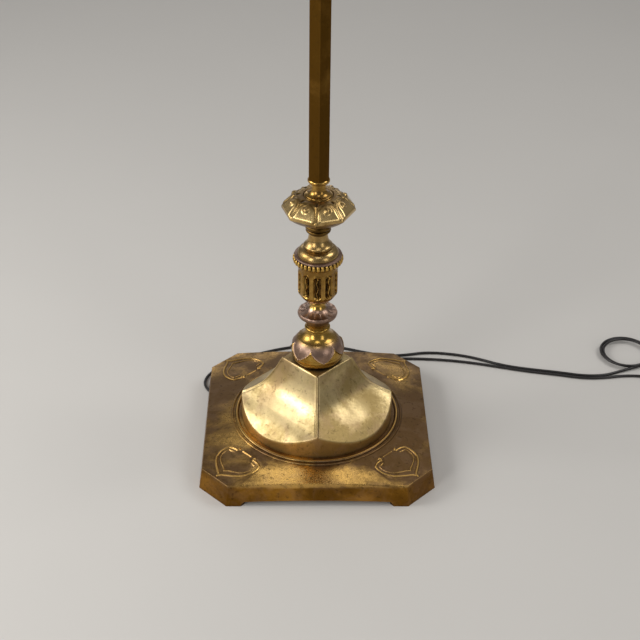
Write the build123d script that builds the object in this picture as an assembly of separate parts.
"""Pharmacy floor lamp in brass: a square ogee base, a turned and leafed stem, a hexagonal
pole, a rod that slides and swivels in a clutch, and a trough shade that turns on its arm.

Millimetres. The origin is on the floor at the stem's axis, +Z is up, -Y is the front."""

from build123d import *
from math import cos, hypot, radians, sin, sqrt, tan
import os

# ---- clearances ----
FIT = 0.05  # radial, between a shaft and the hole that it is fixed in or turns in
APART = 0.3  # between pieces that move past each other
REACH = 400.0  # long enough for a cutter to pass right through any piece of the base or stem

# ---- base plate ----
PLATE_TOP = 26.0  # at the corners; the top is crowned, so it stands higher elsewhere
CROWN_R = 1350.0
PLATE_SIDE = 268.0  # across the flats of the top face
PLATE_FLARE = 4.0  # each side of the skirt stands out this much more at the floor
CORNER_LEG = 31.7  # leg of the cut corner, at the top
CORNER_GROWTH = 1.4  # the same leg is this much longer at the floor
PLATE_WALL = 5.0
EDGE_ROUND = 1.0
FOOT_LENGTH = 14.3  # along a side, from the cut corner to the arch
ARCH_HEIGHT = 6.0  # at its ends
ARCH_RISE = 1.5  # it stands this much higher in the middle
ARCH_COVE = 5.0
BOSS_WALL = 6.0  # metal under the plate, outside the drum

# ---- ogee dome on its drum ----
DRUM_R = 91.0
DOME_HEIGHT = 87.0
DOME_TOP = PLATE_TOP + DOME_HEIGHT
DOME_WALL = 3.2
CAP_HALF = 29.1  # half the side of the square cap
EAVE = 5.0  # the ogee starts this far outside the drum, which trims it
EAVE_HEIGHT = 14.4  # above the plate's corners
# the ogee's shape, in from its start and up; it is stretched to reach from there to the cap
OGEE = [(0.0, 0.0), (17.0, 13.0), (34.0, 23.6), (49.5, 36.6), (59.5, 53.6), (66.9, 72.6)]
SEAM_HALF = 1.0  # half the width of the raised seam on each hip
SEAM_RISE = 0.7

# ---- ring moulded on the plate, measured out from the drum ----
RING_WIDTH = 13.4
RING_R = DRUM_R + RING_WIDTH
RING_BEDDED = 5.0  # how deep the moulding reaches into the plate
OUTER_BEAD_R = DRUM_R + 11.8
OUTER_BEAD_RISE = 1.3  # above the crown of the plate
GROOVE_R = DRUM_R + 9.4
GROOVE_DEPTH = 0.7
INNER_BEAD_R = DRUM_R + 6.8
INNER_BEAD_RISE = 1.9

# ---- ballast and tie rod ----
TIE_R = 4.8
TIE_BORE_R = 3.2
FLANGE_LAP = 9.0  # the ballast's flange reaches this far past the drum, under the plate
FLANGE_THICK = 8.0
BALLAST_BOTTOM = PLATE_TOP - PLATE_WALL - FLANGE_THICK
BALLAST_FLANGE_R = DRUM_R + FLANGE_LAP
BALLAST_GAP = 15.8  # between the ballast and the drum's wall
BALLAST_R = DRUM_R - DOME_WALL - BALLAST_GAP
BALLAST_SHOULDER = PLATE_TOP + 8.0
BALLAST_TOP = BALLAST_SHOULDER + 34.0
BALLAST_NECK_R = 24.0
RECESS_DEPTH = 11.0
RECESS_TOP = BALLAST_BOTTOM + RECESS_DEPTH
TIE_BOTTOM = BALLAST_BOTTOM + 2.0
WASHER_R = 15.0
WASHER_THICK = 2.0
RECESS_R = WASHER_R + 2.0
NUT_ACROSS = 17.0
NUT_HEIGHT = 6.0
BUSH_R = 6.2
BUSH_FLANGE = 2.0

# ---- stem: how tall its turned pieces are, and the joints between them ----
BULB_HEIGHT = 46.5
SPOOL_HEIGHT = 34.0
CUP_HEIGHT = 53.5
BEADS_HEIGHT = 9.5
VASE_HEIGHT = 27.0
KNOP_HEIGHT = 42.5  # up to the floor of the recess in the knop
SEAT_HEIGHT = 26.0
BULB_TOP = DOME_TOP + BULB_HEIGHT
SPOOL_TOP = BULB_TOP + SPOOL_HEIGHT
CUP_TOP = SPOOL_TOP + CUP_HEIGHT
BEADS_TOP = CUP_TOP + BEADS_HEIGHT
VASE_TOP = BEADS_TOP + VASE_HEIGHT
KNOP_SEAT = VASE_TOP + KNOP_HEIGHT
SEAT_TOP = KNOP_SEAT + SEAT_HEIGHT

# ---- leaf bulb ----
LEAF_COUNT = 6
LEAF_TURN = 14.0  # degrees from the front to the first leaf
LEAF_RISE = 1.1
LEAF_HALF = 14.0
LEAF_TIP = DOME_TOP + 5.5
LEAF_SHOULDER = LEAF_TIP + 12.5
LEAF_STALK = LEAF_SHOULDER + 18.0

# ---- lotus spool ----
LOTUS_PETALS = 12
PETAL_GROOVE = 0.9
SPOOL_NECK_R = 7.8

# ---- fluted cup ----
CUP_R = 22.2
FLUTE_COUNT = 10
FLUTE_TURN = -2.0  # degrees from the front to the middle of a flute
FLUTE_R = 7.0
FLUTE_DEPTH = 1.9
FLUTE_BOTTOM = SPOOL_TOP + 11.5
FLUTE_TOP = CUP_TOP - 7.5

# ---- bead ring ----
BEAD_COUNT = 34
BEAD_R = 2.2
BEAD_CIRCLE = CUP_R + 4.0
BEAD_LENGTH = 6.8
BEAD_BOTTOM = CUP_TOP + 0.4
LEDGE_R = BEAD_CIRCLE + 1.0
LEDGE_THICK = 1.9
LEDGE_SHOWS = 3.4  # the ledge stands out this far past the foot of the vase

# ---- leaf knop ----
KNOP_SIDES = 8
KNOP_TURN = -5.0  # degrees from the front to the first corner
KNOP_RIM_R = 41.5  # to a corner
KNOP_RIM_LOW = VASE_TOP + 30.0
KNOP_RIM_HIGH = KNOP_RIM_LOW + 2.9
KNOP_CREST = KNOP_SEAT + 5.5
BOWL_TOP = VASE_TOP + 12.5
SEAT_R = 16.6
RIB_HALF = 0.9
RIB_RISE = 0.9
BOSS_R = 4.0
BOSS_OUT = 28.5
BOSS_HEIGHT = KNOP_RIM_HIGH + 7.2
NOTCH_R = 2.6

# ---- pole ----
POLE_ACROSS = 22.2  # seven eighths of an inch across the flats
POLE_WALL = 1.2
POLE_LENGTH = 520.0
POLE_TOP = SEAT_TOP + POLE_LENGTH
PLUG_HEIGHT = 20.0
POLE_CAP_SKIRT = 18.0
POLE_CAP_R = POLE_ACROSS / 2 + 4.1
CAP_LID = 5.0
NECK_TOP = POLE_TOP + 28.0

# ---- sliding rod and arm ----
ROD_R = 6.35  # half an inch in diameter
ROD_WALL = 1.0
NECK_R = ROD_R + 4.25
SPIGOT_R = ROD_R + 2.25
SPIGOT_HEIGHT = 8.0
ROD_IN_POLE = 232.0
ROD_BOTTOM = POLE_TOP - ROD_IN_POLE
ARM_RISE = 330.0  # of the arm over the clutch
ARM_HEIGHT = NECK_TOP + ARM_RISE
BEND_R = 60.0
ARM_REACH = 232.0
GUIDE_HEIGHT = 22.0
SLIP = 0.05  # radial running clearance of the rod in its collar

# ---- clutch ----
COLLAR_R = ROD_R + 5.65
COLLAR_HEIGHT = 30.0
SCREW_R = 2.4
SCREW_ABOVE = 19.0  # from the collar's lower face to the screw's axis
BOSS_LENGTH = 4.0
BOSS_PAD_R = 5.2
THUMB_R = 9.0
THUMB_THICK = 7.0
KNURLS = 24
KNURL_DEPTH = 0.5

# ---- head ----
END_R = ROD_R + 3.15
END_LENGTH = 24.0
END_SOCKET = 12.0
NIPPLE_R = 4.8
NIPPLE_BORE_R = 3.6
NIPPLE_LENGTH = 32.0
NUT_R = 9.0
NUT_THICK = 4.0
SHADE_R = 50.0
SHADE_SKIRT = 22.0
SHADE_LENGTH = 230.0
SHADE_WALL = 1.2
SHADE_CORNER = 14.0
SOCKET_R = 17.0
SOCKET_WALL = 0.6
SOCKET_CAP_LENGTH = 20.0
SOCKET_LENGTH = 44.0
CORE_LENGTH = 15.0
SCREW_SHELL_R = 13.6
SCREW_SHELL_WALL = 0.4
BULB_BASE_R = 13.1
BULB_BASE_LENGTH = 24.0
BULB_R = 16.0
BULB_LENGTH = 118.0
GLASS_WALL = 0.9
KEY_R = 1.6
KEY_DROP = 13.0
KEY_WIDTH = 15.0
KEY_THICK = 2.4

# ---- cord ----
CORD_R = 1.8
ON_FLOOR = CORD_R + 0.1
COIL_CENTRE = (417.0, 168.0)
COIL_R = 33.0
COIL_SECTION_R = 4.6
PLUG_LENGTH = 30.0
PLUG_WIDTH = 24.0
PLUG_THICK = 17.0
PLUG_AT = (25.0, 155.0)  # where the cord goes into the plug
BLADE_LENGTH = 17.0
BLADE_WIDTH = 6.3
BLADE_THICK = 1.5
BLADE_APART = 12.7


# ---- helpers ----
def outline(start, *steps):
    """Edges from start. A point is a straight step; a pair of points is an arc through the first."""
    edges, at = [], start
    for step in steps:
        through = isinstance(step[0], tuple)
        end = step[1] if through else step
        edges.append(ThreePointArc(at, step[0], end) if through else Line(at, end))
        at = end
    return edges


def turned(bore, start, *steps):
    """A piece turned about Z, from its outline of (radius, height) points, bored through."""
    last = steps[-1]
    end = last[1] if isinstance(last[0], tuple) else last
    closing = [(bore, start[1]), start]
    if end[0] > bore:
        closing = [(bore, end[1]), *closing]
    edges = outline(start, *steps, *closing)
    return revolve(Plane.XZ * make_face(edges), Axis.Z)


def vault(side, sides, turn):
    """A solid with a regular polygon for its plan, each side following the curve that side gives."""
    right, left = side(1), side(-1)
    across = [Line(right[0] @ 0, left[0] @ 0), Line(right[-1] @ 1, left[-1] @ 1)]
    slab = extrude(Plane.XZ * make_face(right + left + across), REACH, both=True)
    solid = slab
    for step in range(1, sides // 2):
        solid = solid & slab.rotate(Axis.Z, step * 360 / sides)
    return solid.rotate(Axis.Z, turn)


def around(piece, count, turn=0.0):
    """Copies of a piece, evenly spaced about Z."""
    return [piece.rotate(Axis.Z, turn + step * 360 / count) for step in range(count)]


def tube(outer, inner, low, high):
    """A round tube along Z between two heights."""
    blank = Pos(0, 0, low) * Cylinder(outer, high - low, align=(Align.CENTER, Align.CENTER, Align.MIN))
    return blank - Cylinder(inner, REACH * 8)


def along_arm(piece):
    """Turns a piece that was made along +Z so that it runs along -X from the arm's end."""
    return Pos(-ARM_REACH, 0, ARM_HEIGHT) * Rot(0, -90, 0) * piece


def hexagon(across):
    """A hexagon by its size across the flats, with a corner to the front."""
    return RegularPolygon(across / sqrt(3), 6, rotation=30)


# ---- base ----
def plate_outline(grow, leg):
    """The plate's square with its corners cut off."""
    square = Rectangle(PLATE_SIDE + 2 * grow, PLATE_SIDE + 2 * grow)
    return chamfer(square.vertices(), leg)


def crown(r):
    """Height of the plate's crowned top at a distance from the axis. It meets PLATE_TOP at the corners."""
    half = PLATE_SIDE / 2
    corner = hypot(half, half - CORNER_LEG)
    return PLATE_TOP + sqrt(CROWN_R**2 - r**2) - sqrt(CROWN_R**2 - corner**2)


def crowned(inset):
    """The plate's tapered block under its crowned top, moved in by a wall's thickness."""
    tall = 3.0  # the block is made this many times as high, and the crown cuts it off
    block = loft(
        [
            plate_outline(PLATE_FLARE - inset, CORNER_LEG + CORNER_GROWTH),
            Pos(0, 0, tall * PLATE_TOP)
            * plate_outline(PLATE_FLARE * (1 - tall) - inset, CORNER_LEG + CORNER_GROWTH * (1 - tall)),
        ]
    )
    return block & Pos(0, 0, crown(0) - inset - CROWN_R) * Sphere(CROWN_R)


def ring_moulding():
    """Two beads with a groove between them, turned, from the plate's crown in to the drum."""
    bed = crown(RING_R) - RING_BEDDED
    groove = crown(GROOVE_R) - GROOVE_DEPTH
    return turned(
        DRUM_R + FIT,
        (RING_R, bed),
        (RING_R, crown(RING_R) - 0.2),
        ((OUTER_BEAD_R, crown(OUTER_BEAD_R) + OUTER_BEAD_RISE), (GROOVE_R + 0.6, groove)),
        (GROOVE_R - 0.4, groove),
        ((INNER_BEAD_R, crown(INNER_BEAD_R) + INNER_BEAD_RISE), (DRUM_R + 4.0, crown(DRUM_R + 4.0))),
        (DRUM_R + FIT, crown(DRUM_R)),
    )


def arch_cutter():
    """The gap between two feet, with a cove at each end and a slightly bowed top."""
    end, cove, top = PLATE_SIDE / 2 - CORNER_LEG - FOOT_LENGTH, ARCH_COVE, ARCH_HEIGHT
    near = cove * (1 - sqrt(0.5))
    face = outline(
        (-end, -cove),
        (-end, top - cove),
        ((near - end, top - near), (cove - end, top)),
        ((0, top + ARCH_RISE), (end - cove, top)),
        ((end - near, top - near), (end, top - cove)),
        (end, -cove),
        (-end, -cove),
    )
    return extrude(Plane.XZ * make_face(face), REACH, both=True)


def base_plate():
    plate = crowned(0)
    plate = fillet(plate.faces().sort_by(Axis.Z)[-1].edges(), EDGE_ROUND)
    bed = crown(RING_R) - RING_BEDDED
    plate = plate - tube(RING_R, 1.0, bed, REACH) + ring_moulding()
    under = PLATE_TOP - PLATE_WALL
    hollow = crowned(PLATE_WALL) - tube(DRUM_R + BOSS_WALL, 1.0, under, REACH)
    plate = plate - tube(DRUM_R + FIT, 1.0, PLATE_TOP, REACH) - hollow - Pos(0, 0, -1) * extrude(
        plate_outline(PLATE_FLARE - PLATE_WALL, CORNER_LEG + CORNER_GROWTH), 2
    )
    plate = plate - Cylinder(DRUM_R - DOME_WALL, REACH)
    arch = arch_cutter()
    return plate - arch - arch.rotate(Axis.Z, 90)


def dome_ogee():
    """Distance of a dome's face from the axis, and height, from the eave up to the cap."""
    start = DRUM_R + EAVE
    low = PLATE_TOP + EAVE_HEIGHT
    wide, tall = OGEE[-1]
    return [(start - x * (start - CAP_HALF) / wide, low + z * (DOME_TOP - low) / tall) for x, z in OGEE]


def dome_side(inset):
    """The ogee of the dome's faces, moved in by a wall's thickness."""

    def side(sign):
        points = [(sign * (n - inset), z - inset * 0.55) for n, z in dome_ogee()]
        foot = (points[0][0], PLATE_TOP - inset)
        return [Line(foot, points[0]), Spline(*points)]

    return side


def base_dome():
    drum = Cylinder(DRUM_R, 2 * DOME_TOP)
    dome = vault(dome_side(0), 4, 45) & drum
    hollow = vault(dome_side(DOME_WALL), 4, 45) & Cylinder(DRUM_R - DOME_WALL, 2 * DOME_TOP)
    # a raised seam follows each hip, where two faces meet
    hip = [(sqrt(2) * n, z) for n, z in dome_ogee()]
    ridge = Spline(*[(r + SEAM_RISE, z + SEAM_RISE) for r, z in hip[:-1]], (hip[-1][0] + SEAM_RISE, DOME_TOP))
    start, end = (hip[0][0] + SEAM_RISE, hip[0][1] + SEAM_RISE), (hip[-1][0] + SEAM_RISE, DOME_TOP)
    inner = outline(end, (hip[-1][0] - 2, DOME_TOP), (hip[0][0] - 60, hip[0][1]), start)
    seam = extrude(Plane.XZ * make_face([ridge] + inner), SEAM_HALF, both=True)
    for copy in around(seam, 4):
        dome = dome + (copy & drum)
    return dome - hollow - Cylinder(TIE_R + FIT, REACH)


def ballast_weight():
    under = PLATE_TOP - PLATE_WALL
    weight = turned(
        TIE_R + FIT,
        (BALLAST_FLANGE_R, BALLAST_BOTTOM),
        (BALLAST_FLANGE_R, under),
        (BALLAST_R, under),
        (BALLAST_R, BALLAST_SHOULDER),
        ((BALLAST_R * 0.55, BALLAST_SHOULDER + 12), (BALLAST_NECK_R, BALLAST_TOP)),
    )
    recess = Pos(0, 0, BALLAST_BOTTOM) * Cylinder(RECESS_R, 2 * (RECESS_TOP - BALLAST_BOTTOM))
    return weight - recess


def tie_rod():
    return tube(TIE_R, TIE_BORE_R, TIE_BOTTOM, SEAT_TOP + PLUG_HEIGHT * 0.7)


def base_washer():
    return tube(WASHER_R, TIE_R + FIT, RECESS_TOP - WASHER_THICK, RECESS_TOP)


def base_nut():
    top = RECESS_TOP - WASHER_THICK
    nut = extrude(Pos(0, 0, top - NUT_HEIGHT) * hexagon(NUT_ACROSS), NUT_HEIGHT)
    return nut - Cylinder(TIE_R + FIT, REACH)


def cord_bushing():
    """A plastic bush in the tie rod's lower end, with a rounded lip for the cord."""
    low = TIE_BOTTOM - BUSH_FLANGE
    return turned(
        CORD_R,
        (CORD_R + 1.6, low),
        ((BUSH_R - 0.6, low + 0.5), (BUSH_R, TIE_BOTTOM)),
        (TIE_BORE_R - FIT, TIE_BOTTOM),
        (TIE_BORE_R - FIT, TIE_BOTTOM + 8),
    )


# ---- stem ----
def leaf_bulb():
    bore = TIE_R + FIT
    foot = DOME_TOP

    def bulb(grow):
        return (
            (23.0 + grow, foot),
            ((28.2 + grow, foot + 4.0), (30.4 + grow, foot + 12.0)),
            ((28.4 + grow, foot + 23.4), (22.6 + grow, foot + 31.0)),
            ((16.0 + grow, BULB_TOP - 9.9), (13.4 + grow, BULB_TOP - 3.9)),
            ((15.0 + grow, BULB_TOP - 1.9), (13.6 + grow, BULB_TOP)),
        )

    body = turned(bore, *bulb(0))
    skin = turned(bore, *bulb(LEAF_RISE))
    leaf = make_face(
        [
            Spline((0, LEAF_TIP), (LEAF_HALF * 0.55, LEAF_TIP + 5), (LEAF_HALF, LEAF_SHOULDER)),
            Spline((LEAF_HALF, LEAF_SHOULDER), (LEAF_HALF * 0.5, LEAF_SHOULDER + 8), (2.5, LEAF_STALK)),
            Line((2.5, LEAF_STALK), (-2.5, LEAF_STALK)),
            Spline((-2.5, LEAF_STALK), (-LEAF_HALF * 0.5, LEAF_SHOULDER + 8), (-LEAF_HALF, LEAF_SHOULDER)),
            Spline((-LEAF_HALF, LEAF_SHOULDER), (-LEAF_HALF * 0.55, LEAF_TIP + 5), (0, LEAF_TIP)),
        ]
    )
    leaf = extrude(Plane.XZ * leaf, 60) & skin
    for copy in around(leaf, LEAF_COUNT, LEAF_TURN):
        body = body + copy
    return body


def lotus_spool():
    low, high = BULB_TOP, SPOOL_TOP
    spool = turned(
        TIE_R + FIT,
        (13.2, low),
        ((15.4, low + 8.0), (21.2, low + 14.0)),
        ((23.2, low + 17.6), (22.2, low + 20.2)),
        ((12.6, low + 23.4), (SPOOL_NECK_R + 0.2, high - 4.5)),
        (SPOOL_NECK_R, high),
    )
    # a shallow groove between each two petals on the upper face
    groove = Pos(0, -17.4, low + 22.3) * Rot(20, 0, 0) * Box(PETAL_GROOVE, 10, 3)
    for copy in around(groove, LOTUS_PETALS, 180 / LOTUS_PETALS):
        spool = spool - copy
    return spool


def fluted_cup():
    low = SPOOL_TOP
    cup = turned(
        TIE_R + FIT,
        (11.4, low),
        ((12.8, low + 1.3), (12.0, low + 2.6)),
        ((17.8, low + 6.2), (CUP_R, low + 13.5)),
        (CUP_R, CUP_TOP - 3.5),
        ((CUP_R + 0.8, CUP_TOP - 1.6), (CUP_R + 2.2, CUP_TOP)),
    )
    out = CUP_R + FLUTE_R - FLUTE_DEPTH
    low_end, high_end = FLUTE_BOTTOM + FLUTE_R, FLUTE_TOP - FLUTE_R
    scoop = Pos(0, -out, (low_end + high_end) / 2) * Cylinder(FLUTE_R, high_end - low_end)
    scoop = scoop + Pos(0, -out, high_end) * Sphere(FLUTE_R) + Pos(0, -out, low_end) * Sphere(FLUTE_R)
    for copy in around(scoop, FLUTE_COUNT, FLUTE_TURN):
        cup = cup - copy
    return cup


def bead_ring():
    """A ledge over a ring of tall beads, each half sunk in the band behind it."""
    band_r = BEAD_CIRCLE - 0.3
    ledge_low = BEADS_TOP - LEDGE_THICK
    ledge = turned(
        TIE_R + FIT,
        (band_r, CUP_TOP),
        (band_r, ledge_low),
        (LEDGE_R, ledge_low),
        (LEDGE_R, BEADS_TOP - 0.6),
        (LEDGE_R - 0.6, BEADS_TOP),
    )
    low, high = BEAD_BOTTOM + BEAD_R, BEAD_BOTTOM + BEAD_LENGTH - BEAD_R
    round_end = BEAD_R * sqrt(0.5)
    half = outline(
        (0, BEAD_BOTTOM),
        ((round_end, low - round_end), (BEAD_R, low)),
        (BEAD_R, high),
        ((round_end, high + round_end), (0, BEAD_BOTTOM + BEAD_LENGTH)),
        (0, BEAD_BOTTOM),
    )
    bead = Pos(0, -BEAD_CIRCLE, 0) * Rot(0, 0, 90) * revolve(Plane.XZ * make_face(half), Axis.Z)
    return ledge + around(bead, BEAD_COUNT)


def vase_cap():
    low, high = BEADS_TOP, VASE_TOP
    return turned(
        TIE_R + FIT,
        (LEDGE_R - LEDGE_SHOWS, low),
        ((22.2, low + 5.0), (16.8, low + 8.8)),
        (15.8, low + 9.2),
        (15.8, low + 10.0),
        ((16.7, low + 11.4), (16.0, low + 12.8)),
        ((12.8, low + 16.8), (11.2, low + 22.0)),
        (10.6, high),
    )


def knop_side(sign):
    """The knop's faces, from the bowl out to the rim, in to the crest and down to the seat."""
    flat = cos(radians(180 / KNOP_SIDES))
    rim = sign * KNOP_RIM_R * flat
    foot = (sign * 12.0, BOWL_TOP - 4)
    crest = (sign * 21.0, KNOP_CREST)
    return [
        Spline(foot, (sign * 21.0, BOWL_TOP + 4), (rim, KNOP_RIM_LOW)),
        Line((rim, KNOP_RIM_LOW), (rim, KNOP_RIM_HIGH)),
        Spline((rim, KNOP_RIM_HIGH), (sign * 32.0, KNOP_RIM_HIGH + 5.2), (sign * 25.5, KNOP_CREST - 1.6), crest),
    ]


def leaf_knop():
    low = VASE_TOP
    bowl = turned(
        TIE_R + FIT,
        (10.6, low),
        (11.0, low + 2.6),
        ((14.3, low + 4.6), (12.8, low + 6.4)),
        ((15.2, low + 9.2), (14.2, BOWL_TOP)),
        (12.0, BOWL_TOP + 2),
    )
    head = vault(knop_side, KNOP_SIDES, KNOP_TURN + 180 / KNOP_SIDES)
    # ribs stand on the corners between the petals
    rim = KNOP_RIM_R
    ridge = Spline(
        (rim, KNOP_RIM_HIGH),
        (32.0 / 0.924, KNOP_RIM_HIGH + 5.2 + RIB_RISE),
        (25.5 / 0.924, KNOP_CREST - 1.6 + RIB_RISE),
        (22.0, KNOP_CREST),
    )
    inside = [(22.0, KNOP_CREST - 6), (rim - 2, KNOP_RIM_LOW + 0.5), (rim, KNOP_RIM_HIGH)]
    under = outline((22.0, KNOP_CREST), *inside)
    rib = extrude(Plane.XZ * make_face([ridge] + under), RIB_HALF, both=True).rotate(Axis.Z, -90)
    boss = Pos(0, -BOSS_OUT, BOSS_HEIGHT) * Sphere(BOSS_R)
    notch = Pos(0, -24, KNOP_CREST + 0.6) * Rot(90, 0, 0) * Cylinder(NOTCH_R, 10)
    head = head + around(rib, KNOP_SIDES, KNOP_TURN)
    head = head + around(boss, KNOP_SIDES, KNOP_TURN + 180 / KNOP_SIDES)
    for copy in around(notch, KNOP_SIDES, KNOP_TURN):
        head = head - copy
    recess = tube(SEAT_R + APART, TIE_R, KNOP_SEAT, KNOP_CREST + 5)
    return bowl + (head - recess - Cylinder(TIE_R + FIT, REACH * 2))


def pole_seat():
    low, high = KNOP_SEAT, SEAT_TOP
    return turned(
        TIE_R + FIT,
        (SEAT_R, low),
        (SEAT_R, low + 4.0),
        ((SEAT_R - 0.3, low + 5.1), (15.2, low + 5.4)),
        ((15.0, low + 6.5), (14.2, low + 6.8)),
        ((10.0, low + 9.8), (8.4, low + 15.0)),
        (8.2, high - 4.4),
        ((12.5, high - 2.2), (10.8, high)),
    )


# ---- pole ----
def hex_tube():
    ring = hexagon(POLE_ACROSS) - hexagon(POLE_ACROSS - 2 * POLE_WALL)
    return extrude(Pos(0, 0, SEAT_TOP) * ring, POLE_TOP - SEAT_TOP)


def tube_plug():
    """A tapped plug fixed in the pole's foot, which the tie rod pulls down on the seat."""
    plug = extrude(Pos(0, 0, SEAT_TOP) * hexagon(POLE_ACROSS - 2 * POLE_WALL - 2 * FIT), PLUG_HEIGHT)
    return plug - Cylinder(TIE_R + FIT, REACH * 2)


def tube_cap():
    """A turned cap over the pole's top, with a spigot that the clutch collar turns on."""
    low = POLE_TOP - POLE_CAP_SKIRT
    cap = turned(
        ROD_R + APART,
        (POLE_CAP_R, low),
        ((POLE_CAP_R + 1.2, low + 1.5), (POLE_CAP_R, low + 3)),
        (POLE_CAP_R, POLE_TOP),
        ((POLE_CAP_R - 1.2, POLE_TOP + CAP_LID - 1.2), (NECK_R, POLE_TOP + CAP_LID + 1)),
        ((NECK_R - 1.4, POLE_TOP + 14), (NECK_R, NECK_TOP - 4)),
        ((NECK_R + 1.4, NECK_TOP - 2), (NECK_R, NECK_TOP)),
        (SPIGOT_R, NECK_TOP),
        (SPIGOT_R, NECK_TOP + SPIGOT_HEIGHT),
    )
    pocket = extrude(Pos(0, 0, low) * hexagon(POLE_ACROSS + 2 * FIT), POLE_CAP_SKIRT)
    return cap - pocket


# ---- clutch ----
def clutch_collar():
    low = NECK_TOP + APART
    high = low + COLLAR_HEIGHT
    collar = turned(
        ROD_R + SLIP,
        (COLLAR_R - 1, low),
        (COLLAR_R, low + 1),
        (COLLAR_R, high - 5),
        ((COLLAR_R - 1.2, high - 1.6), (COLLAR_R - 4, high)),
    )
    collar = collar - tube(SPIGOT_R + FIT, ROD_R, low - 1, NECK_TOP + SPIGOT_HEIGHT + APART)
    height = low + SCREW_ABOVE
    pad = Pos(0, 0, height) * Rot(0, 90, 0) * Pos(0, 0, (COLLAR_R + BOSS_LENGTH) / 2 + 4)
    pad = pad * Cylinder(BOSS_PAD_R, COLLAR_R + BOSS_LENGTH - 8)
    collar = collar + (pad - Pos(0, 0, height) * Cylinder(ROD_R + 1, 30))
    hole = Pos(0, 0, height) * Rot(0, 90, 0) * Pos(0, 0, 25) * Cylinder(SCREW_R + FIT, 50)
    return collar - hole


def clutch_shoe():
    """The small pad that the screw presses on the rod."""
    height = NECK_TOP + APART + SCREW_ABOVE
    pad = Rot(0, 90, 0) * Cylinder(SCREW_R - FIT, 1.6, align=(Align.CENTER, Align.CENTER, Align.MIN))
    return Pos(ROD_R + 0.25, 0, height) * pad


def thumb_screw():
    height = NECK_TOP + APART + SCREW_ABOVE
    start = ROD_R + 0.25 + 1.6 + 0.1
    neck = COLLAR_R + BOSS_LENGTH + APART
    shank = Cylinder(SCREW_R, neck + 2 - start, align=(Align.CENTER, Align.CENTER, Align.MIN))
    shank = Pos(0, 0, start) * shank
    head = turned(
        0.0,
        (4.2, neck),
        (4.2, neck + 2),
        (THUMB_R - 1, neck + 2.4),
        (THUMB_R, neck + 3.4),
        (THUMB_R, neck + THUMB_THICK - 1),
        (THUMB_R - 1, neck + THUMB_THICK),
        ((4.5, neck + THUMB_THICK + 0.9), (1.0, neck + THUMB_THICK + 1.2)),
    )
    groove = Pos(THUMB_R + 0.5, 0, neck + 5) * Rot(0, 0, 45) * Box(2 * KNURL_DEPTH + 0.6, 2 * KNURL_DEPTH + 0.6, 10)
    for copy in around(groove, KNURLS):
        head = head - copy
    return Pos(0, 0, height) * Rot(0, 90, 0) * (shank + head)


# ---- rod and arm ----
def rod_tube():
    """The riser and the arm are one tube, bent to a quarter turn."""
    path = FilletPolyline(
        (0, 0, ROD_BOTTOM), (0, 0, ARM_HEIGHT), (-ARM_REACH, 0, ARM_HEIGHT), radius=BEND_R
    )
    ring = Circle(ROD_R) - Circle(ROD_R - ROD_WALL)
    return sweep(Pos(0, 0, ROD_BOTTOM) * ring, path=path)


def guide_ferrule():
    """A turned ferrule on the rod's foot, which keeps it central in the pole."""
    r = (POLE_ACROSS - 2 * POLE_WALL) / 2 - APART
    return turned(
        ROD_R + FIT,
        (r - 1, ROD_BOTTOM),
        (r, ROD_BOTTOM + 1),
        (r, ROD_BOTTOM + GUIDE_HEIGHT - 1),
        (r - 1, ROD_BOTTOM + GUIDE_HEIGHT),
    )


def arm_end():
    """The coupling on the arm's end: the tube seats in it, and the shade's nipple turns in it."""
    coupling = turned(
        NIPPLE_R + FIT,
        (ROD_R + 1.25, -END_SOCKET),
        ((END_R + 0.2, -END_SOCKET + 2.4), (ROD_R + 1.85, -END_SOCKET + 5)),
        ((END_R - 0.6, 0), (END_R, 5)),
        (END_R, END_LENGTH - END_SOCKET - 1),
        (END_R - 1, END_LENGTH - END_SOCKET),
    )
    seat = tube(ROD_R + FIT, NIPPLE_R, -END_SOCKET - 1, 0)
    return along_arm(coupling - seat)


# ---- head ----
SHADE_START = END_LENGTH - END_SOCKET + APART + NUT_THICK  # distances from the arm's end
SOCKET_START = SHADE_START + SHADE_WALL
SHELL_START = SOCKET_START + SOCKET_CAP_LENGTH
BULB_START = SHELL_START + CORE_LENGTH + 2


def shade_nipple():
    low = END_LENGTH - END_SOCKET - 9
    return along_arm(tube(NIPPLE_R, NIPPLE_BORE_R, low, low + NIPPLE_LENGTH))


def shade_nut():
    low = SHADE_START - NUT_THICK
    nut = tube(NUT_R, NIPPLE_R + FIT, low, SHADE_START)
    groove = Pos(NUT_R + 0.5, 0, low + 2) * Rot(0, 0, 45) * Box(1.6, 1.6, 10)
    for copy in around(groove, KNURLS):
        nut = nut - copy
    return along_arm(nut)


def trough(r, skirt, length, corner):
    """A half-round trough with straight skirts, along Z and open towards -X, with rounded ends."""
    crown = Circle(r) - Pos(-r, 0) * Rectangle(2 * r, 2 * r)
    solid = extrude(crown + Pos(-skirt / 2, 0) * Rectangle(skirt, 2 * r), length)
    ends = [edge for face in solid.faces().filter_by(Axis.Z) for edge in face.edges()]
    mouth = solid.faces().sort_by(Axis.X)[0].edges()
    return fillet([edge for edge in ends if edge not in mouth], corner)


def shade():
    outer = trough(SHADE_R, SHADE_SKIRT, SHADE_LENGTH, SHADE_CORNER)
    inner = trough(
        SHADE_R - SHADE_WALL, SHADE_SKIRT + 1, SHADE_LENGTH - 2 * SHADE_WALL, SHADE_CORNER - SHADE_WALL
    )
    body = outer - Pos(0, 0, SHADE_WALL) * inner
    body = body - Cylinder(NIPPLE_R + FIT, 60)
    return along_arm(Pos(0, 0, SHADE_START) * body)


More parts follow.
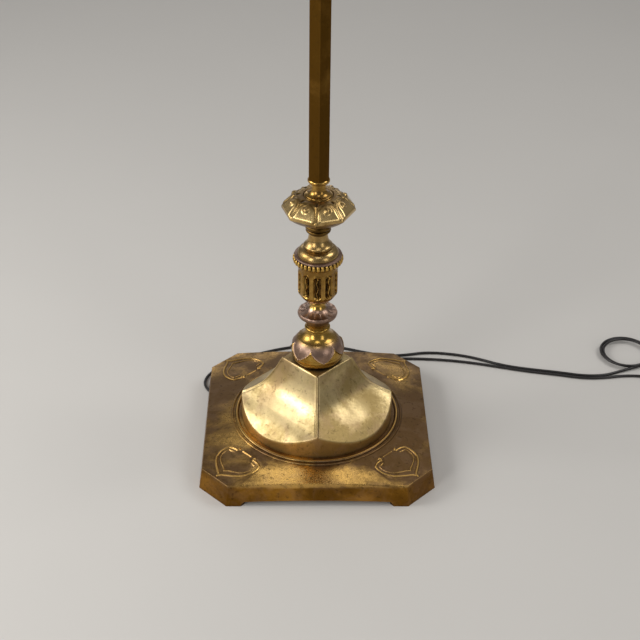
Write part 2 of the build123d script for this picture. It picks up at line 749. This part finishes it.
def socket_cap():
    low, high = SOCKET_START, SHELL_START
    cap = turned(
        NIPPLE_R + FIT,
        (7.5, low),
        (8.5, low + 5),
        ((SOCKET_R - 1.2, low + 9), (SOCKET_R + 0.6, high - 3)),
        (SOCKET_R + 0.6, high),
    )
    hollow = turned(
        0.0, (6.5, low + 7), ((SOCKET_R - 2.6, low + 10.5), (SOCKET_R - 0.6, high - 3)), (SOCKET_R - 0.6, high + 1)
    )
    return along_arm(cap - hollow)


def socket_shell():
    low, high = SHELL_START, SHELL_START + SOCKET_LENGTH
    shell = turned(
        SOCKET_R - SOCKET_WALL,
        (SOCKET_R, low),
        (SOCKET_R, high - 3),
        ((SOCKET_R + 0.9, high - 1.5), (SOCKET_R, high)),
    )
    shell = along_arm(shell)
    return shell - key_axis() * Cylinder(KEY_R + FIT, 30)


def socket_core():
    """The moulded body that holds the switch, the contacts and the screw shell."""
    low = SHELL_START
    core = tube(SOCKET_R - SOCKET_WALL - FIT, 1.6, low, low + CORE_LENGTH)
    return along_arm(core) - key_axis() * Pos(0, 0, 3) * Cylinder(KEY_R + APART, 30)


def screw_shell():
    low = SHELL_START + CORE_LENGTH
    floor = tube(SCREW_SHELL_R, 4.5, low, low + 0.5)
    wall = tube(SCREW_SHELL_R, SCREW_SHELL_R - SCREW_SHELL_WALL, low, low + 24)
    return along_arm(floor + wall)


def centre_contact():
    low = SHELL_START + CORE_LENGTH
    return along_arm(turned(0.0, (3.0, low), (3.0, low + 0.6), ((2.0, low + 1.4), (0.5, low + 1.8))))


def bulb_base():
    low, high = BULB_START, BULB_START + BULB_BASE_LENGTH
    base = turned(
        0.0,
        (4.0, low),
        (5.5, low + 1.2),
        (BULB_BASE_R - 2, low + 3.5),
        (BULB_BASE_R, low + 5),
        (BULB_BASE_R, high),
        (BULB_BASE_R - 1.2, high),
        (BULB_BASE_R - 1.2, low + 8),
    )
    return along_arm(base)


def bulb_glass():
    low = BULB_START + BULB_BASE_LENGTH - 8
    high = low + BULB_LENGTH
    neck = BULB_BASE_R - 1.2 - FIT

    def glass(inset, start):
        return (
            (neck - inset, start),
            (neck - inset, low + 9),
            ((BULB_R - 0.7 - inset, low + 14), (BULB_R - inset, low + 20)),
            (BULB_R - inset, high - BULB_R),
            (((BULB_R - inset) * sin(radians(45)), high - BULB_R + (BULB_R - inset) * cos(radians(45))), (0.0, high - inset)),
        )

    return along_arm(turned(0.0, *glass(0, low)) - turned(0.0, *glass(GLASS_WALL, low - 1)))


def key_axis():
    """The place of the turn key: under the socket, pointing down."""
    return Pos(-ARM_REACH - SHELL_START - CORE_LENGTH / 2, 0, ARM_HEIGHT - SOCKET_R)


def switch_key():
    stem = Cylinder(KEY_R, KEY_DROP + 4, align=(Align.CENTER, Align.CENTER, Align.MAX))
    paddle = fillet(Rectangle(KEY_WIDTH, 10).vertices(), 4)
    paddle = extrude(Plane.XZ * paddle, KEY_THICK / 2, both=True)
    return key_axis() * (Pos(0, 0, 4) * stem + Pos(0, 0, -KEY_DROP - 4) * paddle)


# ---- cord ----
# The cord leaves the tie rod under the base, goes out below the left arch and round the back, and
# runs off to the right. A loose loop turns it back, and it ends in its plug behind the base.
REAR_RUN = [
    (0, 0, TIE_BOTTOM - BUSH_FLANGE),
    (0, 0, 6.5),
    (-5.5, 3.6, ON_FLOOR),
    (-17, 9, ON_FLOOR),
    (-40, 24, ON_FLOOR),
    (-82, 46, ON_FLOOR),
    (-120, 67, ON_FLOOR),
    (-141, 86, ON_FLOOR),
    (-145.5, 107, ON_FLOOR),
    (-134, 130, ON_FLOOR),
    (-108, 151, ON_FLOOR),
    (-76, 168, ON_FLOOR),
    (-40, 182, ON_FLOOR),
    (-2, 189, ON_FLOOR),
    (34, 183, ON_FLOOR),
    (66, 171, ON_FLOOR),
    (94, 163, ON_FLOOR),
    (120, 165, ON_FLOOR),
    (148, 171.5, ON_FLOOR),
    (180, 168.5, ON_FLOOR),
    (212, 159.5, ON_FLOOR),
    (246, 142, ON_FLOOR),
    (280, 133, ON_FLOOR),
    (320, 126, ON_FLOOR),
    (352, 118, ON_FLOOR),
    (380, 119, ON_FLOOR),
    (402, 128.5, ON_FLOOR),
    (422, 135, ON_FLOOR + 2),
]
FRONT_RUN = [
    (432, 138.5, ON_FLOOR + 1),
    (452, 148, ON_FLOOR),
    (475, 152, ON_FLOOR),
    (496, 142, ON_FLOOR),
    (503, 121, ON_FLOOR),
    (491, 103, ON_FLOOR),
    (469, 101, ON_FLOOR),
    (447, 111, ON_FLOOR),
    (425, 118.5, ON_FLOOR),
    (400, 118, ON_FLOOR),
    (378, 113.5, ON_FLOOR),
    (350, 112.8, ON_FLOOR),
    (318, 120.6, ON_FLOOR),
    (278, 128.2, ON_FLOOR),
    (242, 138.2, ON_FLOOR),
    (206, 148, ON_FLOOR),
    (168, 154.5, ON_FLOOR),
    (128, 157.2, ON_FLOOR),
    (92, 155.5, ON_FLOOR),
    (70, 157, ON_FLOOR),
    (52, 156, 4.5),
    (PLUG_AT[0] + 13, PLUG_AT[1], PLUG_THICK / 2),
    (PLUG_AT[0], PLUG_AT[1], PLUG_THICK / 2),
]


def cord_radii(points):
    """The largest radius that each corner's two runs allow."""
    radii = []
    for before, at, after in zip(points, points[1:], points[2:]):
        arriving, leaving = Vector(*at) - Vector(*before), Vector(*after) - Vector(*at)
        half_turn = radians(arriving.get_angle(leaving)) / 2
        radii.append(0.45 * min(arriving.length, leaving.length) / tan(half_turn))
    return radii


def cord_run(points):
    """A round cord along straight runs that tangent arcs join."""
    radii = cord_radii(points)
    path = FilletPolyline(*points, radius=radii)
    start = Plane(origin=path @ 0, z_dir=path % 0)
    run = sweep(start * Circle(CORD_R), path=path)
    share = run.volume / (path.length * 3.141593 * CORD_R**2)
    print(f"cord {path.length:.0f} mm, tightest {min(radii):.1f} mm, volume share {share:.4f}")
    return run


def cord_coil():
    centre = (*COIL_CENTRE, COIL_SECTION_R + 0.1)
    return Pos(*centre) * Torus(COIL_R, COIL_SECTION_R)


def plug_body():
    """A flat two-blade plug, its cord end drawn in."""
    wide = Rectangle(PLUG_THICK, PLUG_WIDTH)
    wide = fillet(wide.vertices(), 5)
    neck = fillet(Rectangle(9, 9).vertices(), 3)
    body = extrude(wide, PLUG_LENGTH * 0.6) + loft(
        [Pos(0, 0, PLUG_LENGTH * 0.6) * wide, Pos(0, 0, PLUG_LENGTH) * neck]
    )
    return plug_place() * body


def plug_place():
    """The plug lies on the floor with its cord end towards +X."""
    return Pos(PLUG_AT[0] - PLUG_LENGTH, PLUG_AT[1], PLUG_THICK / 2) * Rot(0, 90, 0)


def plug_blades():
    blade = Pos(0, 0, -BLADE_LENGTH / 2) * Box(BLADE_WIDTH, BLADE_THICK, BLADE_LENGTH)
    pair = Pos(0, BLADE_APART / 2, 0) * blade + Pos(0, -BLADE_APART / 2, 0) * blade
    return plug_place() * pair


PIECES = {
    "base_plate": base_plate,
    "base_dome": base_dome,
    "ballast_weight": ballast_weight,
    "tie_rod": tie_rod,
    "base_washer": base_washer,
    "base_nut": base_nut,
    "cord_bushing": cord_bushing,
    "leaf_bulb": leaf_bulb,
    "lotus_spool": lotus_spool,
    "fluted_cup": fluted_cup,
    "bead_ring": bead_ring,
    "vase_cap": vase_cap,
    "leaf_knop": leaf_knop,
    "pole_seat": pole_seat,
    "hex_tube": hex_tube,
    "tube_plug": tube_plug,
    "tube_cap": tube_cap,
    "clutch_collar": clutch_collar,
    "clutch_shoe": clutch_shoe,
    "thumb_screw": thumb_screw,
    "rod_tube": rod_tube,
    "guide_ferrule": guide_ferrule,
    "arm_end": arm_end,
    "shade_nipple": shade_nipple,
    "shade_nut": shade_nut,
    "shade": shade,
    "socket_cap": socket_cap,
    "socket_shell": socket_shell,
    "socket_core": socket_core,
    "screw_shell": screw_shell,
    "centre_contact": centre_contact,
    "bulb_base": bulb_base,
    "bulb_glass": bulb_glass,
    "switch_key": switch_key,
    "cord_rear": lambda: cord_run(REAR_RUN),
    "cord_coil": cord_coil,
    "cord_front": lambda: cord_run(FRONT_RUN),
    "plug_body": plug_body,
    "plug_blades": plug_blades,
}

os.makedirs("parts", exist_ok=True)
for name, make in PIECES.items():
    piece = make()
    print(name, len(piece.solids()), round(piece.volume))
    export_step(piece, f"parts/{name}.step")
